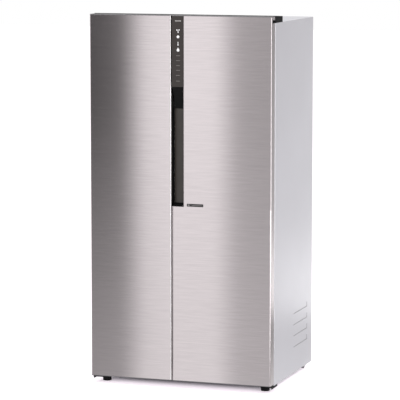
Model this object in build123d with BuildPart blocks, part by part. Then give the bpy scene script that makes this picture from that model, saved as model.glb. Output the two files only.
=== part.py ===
"""Side-by-side refrigerator: a freezer on the left and a fresh-food compartment on the right.

Frame: origin on the floor under the middle of the object, +Z up, the doors face -Y, +X is the right-hand side
of a person who stands in front of it. All sizes are in millimetres.
"""
import os

from build123d import *

# ---- Overall size
WIDTH = 908.0
HEIGHT = 1790.0
DEPTH = 720.0
SIDE_X = WIDTH / 2
BADGE_PROUD = 0.8
FRONT_Y = -DEPTH / 2 + BADGE_PROUD
REAR_Y = DEPTH / 2

# ---- Sheet and wall thicknesses
SHEET = 1.0
PLASTIC = 2.0
RUN_GAP = 0.05

# ---- Cabinet case
CASE_Z0 = 30.0
CASE_Z1 = 1756.0
DOOR_DEPTH = 54.0
GASKET_DEPTH = 9.7
GASKET_GAP = 0.3
DOOR_BACK_Y = FRONT_Y + DOOR_DEPTH
CASE_Y0 = DOOR_BACK_Y + GASKET_DEPTH + GASKET_GAP
CASE_Y1 = REAR_Y - 2.0
CASE_EDGE_R = 6.0
FRONT_FLANGE = 24.0
REAR_FLANGE = 14.0
FOLD_X = SIDE_X - FRONT_FLANGE
INNER_X = SIDE_X - SHEET
REAR_CORNER_X = INNER_X - CASE_EDGE_R
REAR_CORNER_Y = CASE_Y1 - SHEET - CASE_EDGE_R
LOUVRE_Z = (157.0, 212.0, 267.0, 322.0)
LOUVRE_Y0 = 30.0
LOUVRE_Y1 = 268.0
LOUVRE_WIDTH = 5.0
LOUVRE_RISE = 24.0
LOUVRE_DEPTH = 1.6

# ---- Compartments: inside faces of the two liners
LINER_Z0 = 96.0
LINER_Z1 = 1704.0
LINER_Y1 = 296.0
STEP_Y = 84.0
STEP_Z = 300.0
FREEZER_X = (-402.0, -72.0)
FRIDGE_X = (-10.0, 410.0)
LINER_FLANGE = 18.0
LINER_FLANGE_MULLION = 16.0
MACHINE_Y = 130.0
MACHINE_Z = 250.0
TRAY_T = 2.0

# ---- Doors
DOOR_Z0 = 36.0
DOOR_Z1 = 1788.0
DOOR_SPLIT_X = -41.0
DOOR_GAP = 3.0
DOOR_EDGE_R = 8.0
STRIP_EDGE_R = 4.0
CAP = 3.0
SKIN_Z0 = DOOR_Z0 + CAP
SKIN_Z1 = DOOR_Z1 - CAP
FREEZER_DOOR_X = (-SIDE_X, DOOR_SPLIT_X - DOOR_GAP / 2)
FRIDGE_DOOR_X = (DOOR_SPLIT_X + DOOR_GAP / 2, SIDE_X)
DIKE_INSET = 16.0
DIKE_WIDTH = 30.0
DIKE_DEPTH = 50.0
DIKE_Z0 = 112.0
DIKE_Z1 = 1688.0
GASKET_WIDTH = 22.0
GASKET_Z = (50.0, 1742.0)
GASKET_LAP = 4.0
GASKET_PIN_GAP = 1.0

# ---- Control strip and pocket handle on the fridge door
STRIP_X1 = 18.5
DISPLAY_Z0 = 1450.0
DISPLAY_T = 3.0
RECESS_Z1 = 1344.0
RECESS_Z0 = 893.0
STRIP_Z0 = 880.0
RECESS_DEPTH = 45.0
FOLD_DEPTH = 14.0
UNDERCUT = 15.5
UNDERCUT_Z = (RECESS_Z0 - 3.0, RECESS_Z1 + 12.0)
RECESS_Y = FRONT_Y + RECESS_DEPTH
POCKET_X1 = STRIP_X1 + UNDERCUT
PANEL_T = 2.0
PANEL_GAP = 1.0
HOUSING_WALL = 2.0
HOUSING_BACK = DOOR_BACK_Y - 4.0
HOUSING_BRIDGE = 4.0
STRIP_X0 = FRIDGE_DOOR_X[0]
STRIP_FRONT = FRONT_Y + DISPLAY_T
STRIP_LIP = 2.0
DISPLAY_EDGE_R = 1.5
BOARD_INSET = 6.0
BOARD_Y = (STRIP_FRONT + 4.0, STRIP_FRONT + 5.6)
BOARD_Z = (DISPLAY_Z0 + 20.0, SKIN_Z1 - 14.0)
GRIP_WIDTH = 30.0
GRIP_WALL = 2.0
GRIP_Z = (RECESS_Z0 - 8.0, RECESS_Z1 + 8.0)
GRIP_Y = (FRONT_Y + FOLD_DEPTH, HOUSING_BACK)
BADGE_X = (36.5, 118.5)
BADGE_Z = 889.0
BADGE_HEIGHT = 13.5
BADGE_CORNER_R = 1.5

# ---- Door hinges: a plate with an arm on the case top, and a bracket under the case, on each side
HINGE_INSET = 18.0
HINGE_AHEAD = 20.0
HINGE_Y = DOOR_BACK_Y - HINGE_AHEAD
PIN_R = 6.0
PIN_REACH = 18.0
PLATE_T = 4.0
TOP_PLATE_X = (376.0, 450.0)
TOP_PLATE_Y = (-286.0, -202.0)
ARM_HALF = 9.0
ARM_ROOT_Y = -262.0
ARM_EYE_R = 12.0
ARM_Z0 = 1758.0
ARM_Z1 = 1768.0
BRACKET_X = (378.0, 452.0)
BRACKET_Y = (-292.0, -236.0)
BRACKET_NOSE_X = 398.0
BRACKET_RIB_T = 3.0
BRACKET_RIB_Z0 = 18.0
COLLAR_R = 10.0
COLLAR_GAP = 0.5
SLOT_Z0 = 1755.0
SLOT_Z1 = 1771.0
SLOT_Y0 = HINGE_Y - 21.0
HINGE_SLOT_X = SIDE_X - 38.0
BLOCK_WIDTH = 44.0
BLOCK_Y = (FRONT_Y + 7.0, DOOR_BACK_Y - 2.5)
BLOCK_DROP = 25.0
BLOCK_BORE_END = 4.0
BLOCK_CLEARANCE = 0.5
SCREW_R = 3.0
SCREW_HEAD_R = 6.0
SCREW_HEAD_H = 3.5
SCREW_DEPTH = 12.0
TOP_SCREWS = [(side * x, y) for side in (-1, 1) for x, y in ((388, -272), (388, -214), (438, -214))]
BASE_SCREWS = [(side * x, y) for side in (-1, 1) for x, y in ((388, -252), (440, -252), (440, -284))]

# ---- Cover strip over the hinges
COVER_Y0 = CASE_Y0 + 2.0
COVER_Y1 = COVER_Y0 + 114.0
COVER_END_WIDTH = 124.0
COVER_BACK_DROP = 6.0
COVER_NOSE = 3.0
COVER_SPLIT_X = SIDE_X - COVER_END_WIDTH
COVER_NOTCH_HALF = 11.0
COVER_NOTCH_RISE = 2.0

# ---- Feet and rollers
FOOT_X = 403.0
FOOT_Y = -275.0
FOOT_R = 21.0
FOOT_HEIGHT = 20.0
FOOT_EDGE_R = 1.5
STEM_R = 6.0
STEM_TOP = 58.0
STEM_CLEARANCE = 2.0
ROLLER_X = 420.0
ROLLER_Y = 310.0
ROLLER_R = 20.0
ROLLER_WIDTH = 17.0
ROLLER_EDGE_R = 1.0
AXLE_R = 4.0
ROLLER_EAR_T = 3.0
ROLLER_EAR_X = ROLLER_WIDTH / 2 + 0.8
ROLLER_EAR_HALF_Y = 16.0
ROLLER_EAR_Z0 = 10.0
ROLLER_CLEARANCE = 4.0

# ---- Inside fittings
SHELF_Y0 = -190.0
SHELF_T = 4.0
SHELF_Z = (488.0, 770.0, 1050.0, 1330.0)
SHELF_TRIM_DEPTH = 14.0
SHELF_TRIM_HEIGHT = 16.0
LEDGE = 8.0
LEDGE_GAP = 1.5
DRAWER_Y0 = -140.0
DRAWER_WALL = 3.0
DRAWER_Z = ((102.0, 282.0), (306.0, 476.0))
DRAWER_GAP = 5.0
DRAWER_BACK_GAP = 10.0
DRAWER_PULL_DEPTH = 12.0
DRAWER_PULL_INSET = 40.0
DRAWER_PULL_HEIGHT = 18.0
COVER_PLATE_Y = 214.0
COVER_PLATE_T = 3.0
BIN_DEPTH = 93.0
BIN_HEIGHT = 86.0
BIN_WALL = 2.5
BIN_Z = (144.0, 470.0, 810.0, 1150.0, 1450.0)
DAIRY_HINGE_Y = DOOR_BACK_Y + 9.0
DAIRY_HINGE_Z = BIN_Z[-1] + BIN_HEIGHT + 14.0
DAIRY_PIN_R = 3.0
EAR_WALL = 4.0
EAR_REACH = 8.0
LID_T = 3.0
LID_LIP = 24.0
LID_AHEAD = 1.0
LAMP_T = 10.0
LAMP_X = ((-300.0, -175.0), (120.0, 280.0))
LAMP_Y = (-150.0, -70.0)
DUCT_X = (165.0, 235.0)
DUCT_DEPTH = 12.0
DUCT_WALL = 3.0
DUCT_END_GAP = 20.0
DUCT_SLOT_INSET = 12.0
DUCT_SLOT_RISES = (150.0, 170.0)
DUCT_SLOT_HEIGHT = 8.0

# ---- Cooling machinery
COMPRESSOR = (-250.0, 245.0)
COMPRESSOR_R = 62.0
COMPRESSOR_Z = (50.0, 185.0)
COMPRESSOR_TOP_R = 34.0
COMPRESSOR_FOOT_R = 16.0
BASE_PLATE_HALF = (95.0, 50.0)
BASE_PLATE_T = 3.0
TERMINAL_X = (50.0, 78.0)
TERMINAL_HALF_Y = 22.0
TERMINAL_Z = (95.0, 145.0)
MOUNT_SPREAD = (82.0, 38.0)
MOUNT_R = 11.0
FAN_R = 58.0
FAN_BLADES = 5
FAN_SHAFT_R = 3.0
FAN_HUB = (15.0, 16.0)
BLADE = (44.0, 26.0, 2.0)
BLADE_X = 34.0
BLADE_TILT = 28.0
SHAFT_LENGTH = 26.0
SHAFT_MIDDLE = -20.0
MOTOR_CAN = (20.0, 26.0)
MOTOR_MIDDLE = -27.0
MOTOR_DISC = (27.0, 4.0)
MOTOR_DISC_MIDDLE = -38.0
MOTOR_BORE = 24.0
MOTOR_BORE_MIDDLE = -24.0
CONDENSER_FAN = (10.0, 244.0, 116.0)
EVAPORATOR_FAN = (-237.0, 240.0, 980.0)
SHROUD_T = 6.0
SHROUD_RIM = 4.0
SHROUD_Y_GAP = (12.0, 8.0)
SHROUD_TOP_GAP = 8.0
MOTOR_STAND_X = -40.0
MOTOR_STAND_T = 3.0
MOTOR_STAND_HALF_Y = 12.0
MOTOR_STAND_RISE = 24.0
TUBE_R = 3.5
TUBE_BEND = 12.9
COIL_PITCH = 26.0
EVAPORATOR_X = (-385.0, -90.0)
EVAPORATOR_Y = 256.0
EVAPORATOR_Z0 = 520.0
EVAPORATOR_RUNS = 9
FIN_COUNT = 22
FIN_PITCH = 12.0
FIN_HALF_Y = 20.0
FIN_START = 20.0
FIN_OVERHANG = 10.0
CONDENSER_X = (70.0, 400.0)
CONDENSER_Z0 = 56.0
CONDENSER_RUNS = 7
WIRE_COUNT = 14
WIRE_PITCH = 22.0
WIRE_START = 20.0
WIRE_T = 2.0
WIRE_Y = (238.0, 240.6)
WIRE_OVERHANG = 6.0
GRILLE_PITCH = 14.0
GRILLE_SLOT = 7.0
FAN_GRILLE_ROWS = 7
FAN_GRILLE_HALF = (50.0, 42.0)
RETURN_GRILLE_ROWS = 4
RETURN_GRILLE_HALF_X = 120.0
RETURN_GRILLE_RISE = 60.0
PAN_HALF_X = 120.0
PAN_Y = (150.0, 340.0)
PAN_Z = (196.0, 226.0)
VENT_COLUMNS = (-290.0, -145.0, 0.0, 145.0, 290.0)
VENT_ROWS = 8
VENT_Z0 = 62.0
VENT_PITCH = 20.0
VENT_SLOT = 8.0
VENT_HALF_X = 52.0
GLAND = (-390.0, 90.0)
GLAND_R = 9.0
GLAND_LENGTH = 10.0
CORD_R = 3.5

os.makedirs("parts", exist_ok=True)


# ---- Helpers, called inside a part's own block
def block(x0, x1, y0, y1, z0, z1, mode=Mode.ADD):
    """A box between two opposite corners, whichever order they come in."""
    with Locations(((x0 + x1) / 2, (y0 + y1) / 2, (z0 + z1) / 2)):
        return Box(abs(x1 - x0), abs(y1 - y0), abs(z1 - z0), mode=mode)


def post(x, y, z0, z1, radius, mode=Mode.ADD):
    """An upright cylinder between two heights."""
    with Locations((x, y, (z0 + z1) / 2)):
        return Cylinder(radius, abs(z1 - z0), mode=mode)


def rod(x0, x1, y, z, radius, mode=Mode.ADD):
    """A cylinder that lies along X."""
    with Locations(Location(((x0 + x1) / 2, y, z), (0, 90, 0))):
        return Cylinder(radius, abs(x1 - x0), mode=mode)


def border(x0, x1, y0, y1, z0, z1, width, mode=Mode.ADD):
    """Four bars that frame an upright rectangle."""
    block(x0, x0 + width, y0, y1, z0, z1, mode)
    block(x1 - width, x1, y0, y1, z0, z1, mode)
    block(x0 + width, x1 - width, y0, y1, z0, z0 + width, mode)
    block(x0 + width, x1 - width, y0, y1, z1 - width, z1, mode)


def tub(x0, x1, y0, y1, z0, z1, wall):
    """A box with five walls, open at the top."""
    block(x0, x1, y0, y1, z0, z1)
    block(x0 + wall, x1 - wall, y0 + wall, y1 - wall, z0 + wall, z1, Mode.SUBTRACT)


def keep(piece, name):
    """Labels a finished piece and writes it to its own file."""
    piece.part.label = name
    export_step(piece.part, f"parts/{name}.step")


def bent_sheet(points, radius, height, z0):
    """A sheet bent along a plan outline, with the outer radius given at its folds, raised to a height."""
    with BuildSketch(Plane.XY.offset(z0)) as section:
        with BuildLine():
            FilletPolyline(*points, radius=radius)
            offset(amount=SHEET, side=Side.LEFT, closed=True)
        make_face()
    return extrude(section.sketch, amount=height)


def side_profile(points, x0, x1):
    """A solid with a straight-sided side view, given as (y, z) points, between two places along X."""
    with BuildSketch(Plane.YZ.offset(x0)) as section:
        with BuildLine():
            Polyline(*points, close=True)
        make_face()
    return extrude(section.sketch, amount=x1 - x0)


def door_slab(x0, x1, y1, radius, z0, z1):
    """A slab with the plan of a door. The radius pair is its front corners and how far it stands back."""
    front = FRONT_Y + radius[1]
    with BuildSketch(Plane.XY.offset(z0)) as section:
        with BuildLine():
            FilletPolyline((x0, y1), (x0, front), (x1, front), (x1, y1), radius=radius[0])
            Line((x1, y1), (x0, y1))
        make_face()
    return extrude(section.sketch, amount=z1 - z0)


def hinge_x(side):
    """The distance of a door's pin line from the middle plane, on the left (-1) or the right (+1)."""
    return side * (SIDE_X - HINGE_INSET)


def louvre_lines(side, x_in, x_out, grow, mode):
    """The pressed L-shaped lines low on a side panel, grown all round where asked."""
    x0 = side * x_in
    x1 = side * x_out
    y1 = LOUVRE_Y1 + grow
    for z in LOUVRE_Z:
        block(x0, x1, LOUVRE_Y0 - grow, y1, z - grow, z + LOUVRE_WIDTH + grow, mode)
        block(x0, x1, LOUVRE_Y1 - LOUVRE_WIDTH - grow, y1, z - grow, z + LOUVRE_RISE + grow, mode)


# ---- Outer case
for side, word in ((-1, "left"), (1, "right")):
    with BuildPart() as side_panel:
        fold = [
            (side * (SIDE_X - FRONT_FLANGE), CASE_Y0),
            (side * SIDE_X, CASE_Y0),
            (side * SIDE_X, CASE_Y1),
            (side * (SIDE_X - REAR_FLANGE), CASE_Y1),
        ]
        if side < 0:
            fold.reverse()
        add(bent_sheet(fold, CASE_EDGE_R, CASE_Z1 - CASE_Z0, CASE_Z0))
        louvre_lines(side, SIDE_X - SHEET - LOUVRE_DEPTH, SIDE_X - SHEET, SHEET, Mode.ADD)
        louvre_lines(side, SIDE_X - LOUVRE_DEPTH, SIDE_X, 0, Mode.SUBTRACT)
    keep(side_panel, f"side_panel_{word}")

with BuildPart() as top_panel:
    block(-INNER_X, INNER_X, CASE_Y0 + SHEET, CASE_Y1 - SHEET, CASE_Z1 - SHEET, CASE_Z1)
    fillet(top_panel.edges().filter_by(Axis.Z), radius=CASE_EDGE_R)
    block(-FOLD_X, FOLD_X, CASE_Y0, CASE_Y0 + SHEET, CASE_Z1 - FRONT_FLANGE, CASE_Z1)
    block(-FOLD_X, FOLD_X, CASE_Y1 - SHEET, CASE_Y1, CASE_Z1 - REAR_FLANGE, CASE_Z1)
    for x, y in TOP_SCREWS:
        post(x, y, CASE_Z1 - SHEET, CASE_Z1, SCREW_R + RUN_GAP, Mode.SUBTRACT)
keep(top_panel, "top_panel")

with BuildPart() as rear_panel:
    block(
        -REAR_CORNER_X, REAR_CORNER_X, CASE_Y1 - 2 * SHEET, CASE_Y1 - SHEET,
        MACHINE_Z - SHEET, CASE_Z1 - 2 * SHEET,
    )
keep(rear_panel, "rear_panel")

with BuildPart() as bottom_panel:
    block(-INNER_X, INNER_X, CASE_Y0 + SHEET, MACHINE_Y + SHEET, CASE_Z0, CASE_Z0 + SHEET)
    fillet(bottom_panel.edges().filter_by(Axis.Z).group_by(Axis.Y)[0], radius=CASE_EDGE_R)
    block(-FOLD_X, FOLD_X, CASE_Y0, CASE_Y0 + SHEET, CASE_Z0, LINER_Z0 - LINER_FLANGE)
    block(-INNER_X, INNER_X, MACHINE_Y, MACHINE_Y + SHEET, CASE_Z0, MACHINE_Z)
    block(-INNER_X, INNER_X, MACHINE_Y, REAR_CORNER_Y, MACHINE_Z - SHEET, MACHINE_Z)
    block(-REAR_CORNER_X, REAR_CORNER_X, REAR_CORNER_Y, CASE_Y1 - 2 * SHEET, MACHINE_Z - SHEET, MACHINE_Z)
    for side in (-1, 1):
        louvre_lines(side, SIDE_X - SHEET - LOUVRE_DEPTH, SIDE_X, SHEET, Mode.SUBTRACT)
        post(side * FOOT_X, FOOT_Y, CASE_Z0, CASE_Z0 + SHEET, STEM_R + STEM_CLEARANCE, Mode.SUBTRACT)
    for x, y in BASE_SCREWS:
        post(x, y, CASE_Z0, CASE_Z0 + SHEET, SCREW_R + RUN_GAP, Mode.SUBTRACT)
keep(bottom_panel, "bottom_panel")

TRAY_Z1 = CASE_Z0 + TRAY_T
ROLLER_WELL = ROLLER_R + ROLLER_CLEARANCE
with BuildPart() as compressor_base:
    block(-INNER_X, INNER_X, MACHINE_Y + SHEET, CASE_Y1 - SHEET, CASE_Z0, TRAY_Z1)
    fillet(compressor_base.edges().filter_by(Axis.Z).group_by(Axis.Y)[-1], radius=CASE_EDGE_R)
    for side in (-1, 1):
        x0 = side * ROLLER_X - ROLLER_EAR_X
        x1 = side * ROLLER_X + ROLLER_EAR_X
        block(x0, x1, ROLLER_Y - ROLLER_WELL, ROLLER_Y + ROLLER_WELL, CASE_Z0, TRAY_Z1, Mode.SUBTRACT)
        for ear_x in (x0 - ROLLER_EAR_T, x1):
            block(
                ear_x, ear_x + ROLLER_EAR_T, ROLLER_Y - ROLLER_EAR_HALF_Y, ROLLER_Y + ROLLER_EAR_HALF_Y,
                ROLLER_EAR_Z0, TRAY_Z1,
            )
        rod(x0, x1, ROLLER_Y, ROLLER_R, AXLE_R)
keep(compressor_base, "compressor_base")


# ---- Liners of the two compartments
def compartment(x0, x1, grow, y0):
    """The volume of a compartment, with its step over the machines, grown by a wall thickness where asked."""
    profile = [
        (y0, LINER_Z0 - grow),
        (STEP_Y + grow, LINER_Z0 - grow),
        (STEP_Y + grow, STEP_Z - grow),
        (LINER_Y1 + grow, STEP_Z - grow),
        (LINER_Y1 + grow, LINER_Z1 + grow),
        (y0, LINER_Z1 + grow),
    ]
    return side_profile(profile, x0 - grow, x1 + grow)


LINERS = (
    ("freezer_liner", FREEZER_X, -FOLD_X, FREEZER_X[1] + LINER_FLANGE_MULLION),
    ("fridge_liner", FRIDGE_X, FRIDGE_X[0] - LINER_FLANGE_MULLION, FOLD_X),
)
for name, (x0, x1), flange_x0, flange_x1 in LINERS:
    with BuildPart() as liner:
        add(compartment(x0, x1, PLASTIC, CASE_Y0))
        block(
            flange_x0, flange_x1, CASE_Y0, CASE_Y0 + PLASTIC,
            LINER_Z0 - LINER_FLANGE, CASE_Z1 - FRONT_FLANGE,
        )
        add(compartment(x0, x1, 0, CASE_Y0 - 1), mode=Mode.SUBTRACT)
        back = COVER_PLATE_Y if name == "freezer_liner" else LINER_Y1
        for z in SHELF_Z:
            block(x0, x0 + LEDGE, SHELF_Y0, back, z - LEDGE, z)
            block(x1 - LEDGE, x1, SHELF_Y0, back, z - LEDGE, z)
    keep(liner, name)

with BuildPart() as mullion_trim:
    block(
        FREEZER_X[1] + LINER_FLANGE_MULLION, FRIDGE_X[0] - LINER_FLANGE_MULLION,
        CASE_Y0, CASE_Y0 + SHEET, LINER_Z0 - LINER_FLANGE, CASE_Z1 - FRONT_FLANGE,
    )
keep(mullion_trim, "mullion_trim")

FOAM_Y0 = CASE_Y0 + PLASTIC
FOLD_CLEARANCE = 4.0
with BuildPart() as cabinet_foam:
    block(-INNER_X, INNER_X, FOAM_Y0, CASE_Y1 - 2 * SHEET, CASE_Z0 + SHEET, CASE_Z1 - SHEET)
    block(-INNER_X, INNER_X, MACHINE_Y, CASE_Y1, CASE_Z0, MACHINE_Z, Mode.SUBTRACT)
    for x0, x1 in (FREEZER_X, FRIDGE_X):
        add(compartment(x0, x1, PLASTIC, CASE_Y0), mode=Mode.SUBTRACT)
    for side in (-1, 1):
        louvre_lines(side, SIDE_X - SHEET - LOUVRE_DEPTH, SIDE_X, SHEET, Mode.SUBTRACT)
        for y0, y1 in (
            (FOAM_Y0, FOAM_Y0 + FOLD_CLEARANCE),
            (CASE_Y1 - 2 * SHEET - FOLD_CLEARANCE, CASE_Y1),
        ):
            block(side * REAR_CORNER_X, side * INNER_X, y0, y1, CASE_Z0, CASE_Z1, Mode.SUBTRACT)
        post(
            side * FOOT_X, FOOT_Y, CASE_Z0, STEM_TOP + 2 * STEM_CLEARANCE,
            STEM_R + STEM_CLEARANCE, Mode.SUBTRACT,
        )
    for x, y in TOP_SCREWS:
        post(x, y, CASE_Z1 - SCREW_DEPTH, CASE_Z1, SCREW_R + RUN_GAP, Mode.SUBTRACT)
    for x, y in BASE_SCREWS:
        post(x, y, CASE_Z0, CASE_Z0 + SCREW_DEPTH, SCREW_R + RUN_GAP, Mode.SUBTRACT)
keep(cabinet_foam, "cabinet_foam")

# ---- Door hinges, with their pins
with BuildPart() as top_hinges:
    for side in (-1, 1):
        x_pin = hinge_x(side)
        block(side * TOP_PLATE_X[0], side * TOP_PLATE_X[1], *TOP_PLATE_Y, CASE_Z1, CASE_Z1 + PLATE_T)
        block(x_pin - ARM_HALF, x_pin + ARM_HALF, HINGE_Y, ARM_ROOT_Y, ARM_Z0, ARM_Z1)
        block(x_pin - ARM_HALF, x_pin + ARM_HALF, TOP_PLATE_Y[0], ARM_ROOT_Y, CASE_Z1, ARM_Z1)
        post(x_pin, HINGE_Y, ARM_Z0, ARM_Z1, ARM_EYE_R)
        post(x_pin, HINGE_Y, SLOT_Z0 - PIN_REACH, ARM_Z0, PIN_R)
    for x, y in TOP_SCREWS:
        post(x, y, CASE_Z1, CASE_Z1 + PLATE_T, SCREW_R + RUN_GAP, Mode.SUBTRACT)
keep(top_hinges, "top_hinges")

BRACKET_Z0 = CASE_Z0 - PLATE_T
with BuildPart() as bottom_hinges:
    for side in (-1, 1):
        x_pin = hinge_x(side)
        outer = side * BRACKET_X[1]
        block(side * BRACKET_X[0], outer, *BRACKET_Y, BRACKET_Z0, CASE_Z0)
        block(side * BRACKET_NOSE_X, outer, HINGE_Y - ARM_EYE_R, BRACKET_Y[0], BRACKET_Z0, CASE_Z0)
        block(
            side * (BRACKET_X[1] - BRACKET_RIB_T), outer, HINGE_Y - PLATE_T, BRACKET_Y[1] - PLATE_T / 2,
            BRACKET_RIB_Z0, BRACKET_Z0,
        )
        post(x_pin, HINGE_Y, CASE_Z0, DOOR_Z0 - COLLAR_GAP, COLLAR_R)
        post(x_pin, HINGE_Y, CASE_Z0, DOOR_Z0 + PIN_REACH, PIN_R)
        post(side * FOOT_X, FOOT_Y, BRACKET_Z0, CASE_Z0, STEM_R + RUN_GAP, Mode.SUBTRACT)
    for x, y in BASE_SCREWS:
        post(x, y, BRACKET_Z0, CASE_Z0, SCREW_R + RUN_GAP, Mode.SUBTRACT)
keep(bottom_hinges, "bottom_hinges")

with BuildPart() as case_screws:
    for x, y in TOP_SCREWS:
        post(x, y, CASE_Z1 - SCREW_DEPTH, CASE_Z1 + PLATE_T, SCREW_R)
        post(x, y, CASE_Z1 + PLATE_T, CASE_Z1 + PLATE_T + SCREW_HEAD_H, SCREW_HEAD_R)
    for x, y in BASE_SCREWS:
        post(x, y, BRACKET_Z0, CASE_Z0 + SCREW_DEPTH, SCREW_R)
        post(x, y, BRACKET_Z0 - SCREW_HEAD_H, BRACKET_Z0, SCREW_HEAD_R)
keep(case_screws, "case_screws")


# ---- Cover strip along the top, in three pieces, open underneath
def cover_piece(x0, x1):
    """The outside and the hollow of one length of the cover strip, whose top falls towards the back."""
    outside = [
        (COVER_Y1, CASE_Z1),
        (COVER_Y0, CASE_Z1),
        (COVER_Y0, HEIGHT - COVER_NOSE),
        (COVER_Y0 + COVER_NOSE, HEIGHT),
        (COVER_Y1, HEIGHT - COVER_BACK_DROP),
    ]
    inside = [
        (COVER_Y1 - PLASTIC, CASE_Z1 - 1),
        (COVER_Y0 + PLASTIC, CASE_Z1 - 1),
        (COVER_Y0 + PLASTIC, HEIGHT - COVER_NOSE - PLASTIC / 2),
        (COVER_Y0 + COVER_NOSE + PLASTIC / 2, HEIGHT - PLASTIC),
        (COVER_Y1 - PLASTIC, HEIGHT - COVER_BACK_DROP - PLASTIC),
    ]
    return side_profile(outside, x0, x1), side_profile(inside, x0 + PLASTIC, x1 - PLASTIC)


for name, x0, x1 in (
    ("hinge_cover_left", -SIDE_X, -COVER_SPLIT_X),
    ("top_cover", -COVER_SPLIT_X, COVER_SPLIT_X),
    ("hinge_cover_right", COVER_SPLIT_X, SIDE_X),
):
    shell, hollow = cover_piece(x0, x1)
    with BuildPart() as cover:
        add(shell)
        add(hollow, mode=Mode.SUBTRACT)
        for side in (-1, 1):
            x_pin = hinge_x(side)
            block(
                x_pin - COVER_NOTCH_HALF, x_pin + COVER_NOTCH_HALF, COVER_Y0 - 1, COVER_Y0 + PLASTIC + 1,
                CASE_Z1 - 1, ARM_Z1 + COVER_NOTCH_RISE, Mode.SUBTRACT,
            )
    keep(cover, name)

# ---- Shelves, drawers and what else is inside the compartments
SHELF_SETS = (
    ("freezer_shelves", FREEZER_X, COVER_PLATE_Y - 6),
    ("fridge_shelves", FRIDGE_X, LINER_Y1 - 14),
)
for name, x_range, back in SHELF_SETS:
    with BuildPart() as shelves:
        for z in SHELF_Z:
            block(
                x_range[0] + LEDGE_GAP, x_range[1] - LEDGE_GAP, SHELF_Y0 + SHELF_TRIM_DEPTH, back,
                z, z + SHELF_T,
            )
    keep(shelves, name)

with BuildPart() as shelf_trims:
    for x_range in (FREEZER_X, FRIDGE_X):
        for z in SHELF_Z:
            block(
                x_range[0] + LEDGE_GAP, x_range[1] - LEDGE_GAP, SHELF_Y0, SHELF_Y0 + SHELF_TRIM_DEPTH,
                z, z + SHELF_TRIM_HEIGHT,
            )
keep(shelf_trims, "shelf_trims")

DRAWER_BACKS = (STEP_Y - DRAWER_BACK_GAP, COVER_PLATE_Y - DRAWER_BACK_GAP)
DRAWER_FACE_Y = DRAWER_Y0 + DRAWER_PULL_DEPTH
for word, x_range in (("freezer_drawer", FREEZER_X), ("crisper_drawer", FRIDGE_X)):
    x0 = x_range[0] + DRAWER_GAP
    x1 = x_range[1] - DRAWER_GAP
    pull_x = (x0 + DRAWER_PULL_INSET, x1 - DRAWER_PULL_INSET)
    for level, (z0, z1), y1 in zip(("lower", "upper"), DRAWER_Z, DRAWER_BACKS):
        with BuildPart() as drawer:
            tub(x0, x1, DRAWER_FACE_Y, y1, z0, z1, DRAWER_WALL)
            block(x0, x1, DRAWER_FACE_Y - DRAWER_WALL, DRAWER_FACE_Y, z0, z1)
            block(*pull_x, DRAWER_Y0, DRAWER_FACE_Y - DRAWER_WALL, z1 - DRAWER_WALL, z1)
            block(*pull_x, DRAWER_Y0, DRAWER_Y0 + DRAWER_WALL, z1 - DRAWER_PULL_HEIGHT, z1)
        keep(drawer, f"{word}_{level}")

DUCT_Y0 = LINER_Y1 - DUCT_DEPTH
DUCT_Z = (SHELF_Z[0] + SHELF_T + DUCT_END_GAP, LINER_Z1 - DUCT_END_GAP)
with BuildPart() as fridge_air_duct:
    block(*DUCT_X, DUCT_Y0, LINER_Y1, *DUCT_Z)
    block(
        DUCT_X[0] + DUCT_WALL, DUCT_X[1] - DUCT_WALL, DUCT_Y0 + DUCT_WALL, LINER_Y1,
        DUCT_Z[0] + DUCT_WALL, DUCT_Z[1] - DUCT_WALL, Mode.SUBTRACT,
    )
    for z in SHELF_Z:
        for rise in DUCT_SLOT_RISES:
            block(
                DUCT_X[0] + DUCT_SLOT_INSET, DUCT_X[1] - DUCT_SLOT_INSET,
                DUCT_Y0 - 1, DUCT_Y0 + DUCT_WALL + 1,
                z + rise, z + rise + DUCT_SLOT_HEIGHT, Mode.SUBTRACT,
            )
keep(fridge_air_duct, "fridge_air_duct")

with BuildPart() as cabinet_lamps:
    for lamp_x in LAMP_X:
        block(*lamp_x, *LAMP_Y, LINER_Z1 - LAMP_T, LINER_Z1)
keep(cabinet_lamps, "cabinet_lamps")


# ---- Cooling machinery
def tube_run(points, radius, bend):
    """A tube bent along a route of straight runs."""
    with BuildLine() as route:
        FilletPolyline(*points, radius=bend)
    with BuildSketch(Plane(origin=route.line @ 0, z_dir=route.line % 0)) as section:
        Circle(radius)
    return sweep(section.sketch, path=route.line)


def serpentine(x0, x1, y, z0, pitch, runs):
    """Points of a flat coil that goes to and fro along X while it climbs."""
    points = []
    for run in range(runs):
        ends = (x0, x1) if run % 2 == 0 else (x1, x0)
        points += [(x, y, z0 + run * pitch) for x in ends]
    return points


with BuildPart() as evaporator_coil:
    route = serpentine(*EVAPORATOR_X, EVAPORATOR_Y, EVAPORATOR_Z0, COIL_PITCH, EVAPORATOR_RUNS)
    add(tube_run(route, TUBE_R, TUBE_BEND))
    fin_z0 = EVAPORATOR_Z0 - FIN_OVERHANG
    fin_z1 = EVAPORATOR_Z0 + COIL_PITCH * (EVAPORATOR_RUNS - 1) + FIN_OVERHANG
    for fin in range(FIN_COUNT):
        fin_x = EVAPORATOR_X[0] + FIN_START + fin * FIN_PITCH
        block(fin_x, fin_x + SHEET, EVAPORATOR_Y - FIN_HALF_Y, EVAPORATOR_Y + FIN_HALF_Y, fin_z0, fin_z1)
keep(evaporator_coil, "evaporator_coil")


def grille(x_middle, half_x, z0, rows):
    """A column of air slots cut through the plate in front of the evaporator."""
    for row in range(rows):
        slot_z = z0 + row * GRILLE_PITCH
        block(
            x_middle - half_x, x_middle + half_x, COVER_PLATE_Y - 1, COVER_PLATE_Y + COVER_PLATE_T + 1,
            slot_z, slot_z + GRILLE_SLOT, Mode.SUBTRACT,
        )


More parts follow.
